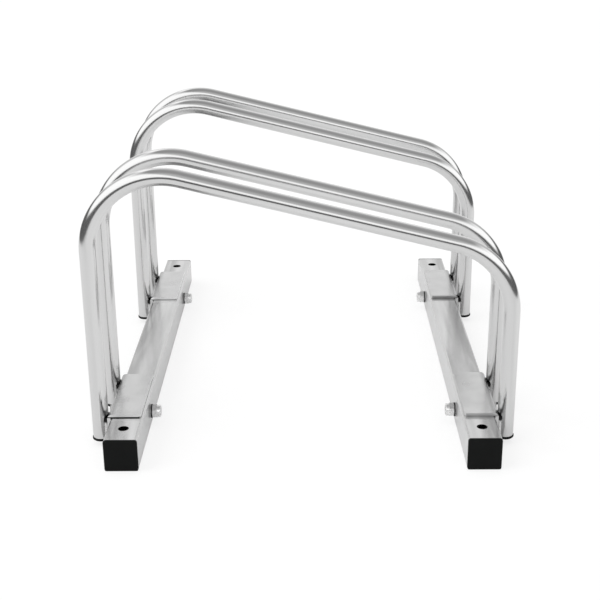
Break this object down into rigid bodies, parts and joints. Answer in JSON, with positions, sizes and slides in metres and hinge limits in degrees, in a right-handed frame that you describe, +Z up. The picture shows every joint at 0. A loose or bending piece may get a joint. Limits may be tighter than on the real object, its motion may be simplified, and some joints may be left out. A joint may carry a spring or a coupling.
{
  "type": "bicycle rack",
  "caption": "Low steel floor stand for parking bicycles: paired bent-tube hoops with sloping tops hold each wheel upright, bolted by angle brackets across square rails.",
  "frame": {"origin": "on the floor, at the middle of the stand: the centre of the bounding box's bottom face", "axes": "+X to the right, from the high side of the hoops to the low side; a wheel rolls in along X. +Y to the back, along the rails. +Z up."},
  "size_m": [0.3216, 0.41, 0.2159],
  "materials": {
    "hoop_steel": "bright zinc plating on smooth round tube, semi-gloss",
    "rail_steel": "zinc plating on square tube, satin",
    "bracket_steel": "zinc plating on folded plate and weld beads, satin",
    "fastener_zinc": "bright zinc plating",
    "washer_black": "black oxide, satin",
    "black_plastic": "moulded, fine matt grain",
    "white_nylon": "smooth natural nylon"
  },
  "bodies": {
    "root": {"rail_left": "rail_steel", "rail_right": "rail_steel", "front_cap_left": "black_plastic", "front_cap_right": "black_plastic", "rear_cap_left": "black_plastic", "rear_cap_right": "black_plastic", "front_hoop_outer": "hoop_steel", "front_hoop_inner": "hoop_steel", "rear_hoop_outer": "hoop_steel", "rear_hoop_inner": "hoop_steel", "front_outer_plug_left": "black_plastic", "front_outer_plug_right": "black_plastic", "front_inner_plug_left": "black_plastic", "front_inner_plug_right": "black_plastic", "rear_outer_plug_left": "black_plastic", "rear_outer_plug_right": "black_plastic", "rear_inner_plug_left": "black_plastic", "rear_inner_plug_right": "black_plastic", "front_bracket_left": "bracket_steel", "front_bracket_right": "bracket_steel", "rear_bracket_left": "bracket_steel", "rear_bracket_right": "bracket_steel", "front_welds_left": "bracket_steel", "front_welds_right": "bracket_steel", "rear_welds_left": "bracket_steel", "rear_welds_right": "bracket_steel", "front_bolt_left": "fastener_zinc", "front_bolt_right": "fastener_zinc", "rear_bolt_left": "fastener_zinc", "rear_bolt_right": "fastener_zinc", "front_washer_left": "washer_black", "front_washer_right": "washer_black", "rear_washer_left": "washer_black", "rear_washer_right": "washer_black", "front_lock_nut_left": "fastener_zinc", "front_lock_nut_right": "fastener_zinc", "rear_lock_nut_left": "fastener_zinc", "rear_lock_nut_right": "fastener_zinc", "front_nylon_ring_left": "white_nylon", "front_nylon_ring_right": "white_nylon", "rear_nylon_ring_left": "white_nylon", "rear_nylon_ring_right": "white_nylon"}
  },
  "joints": []
}
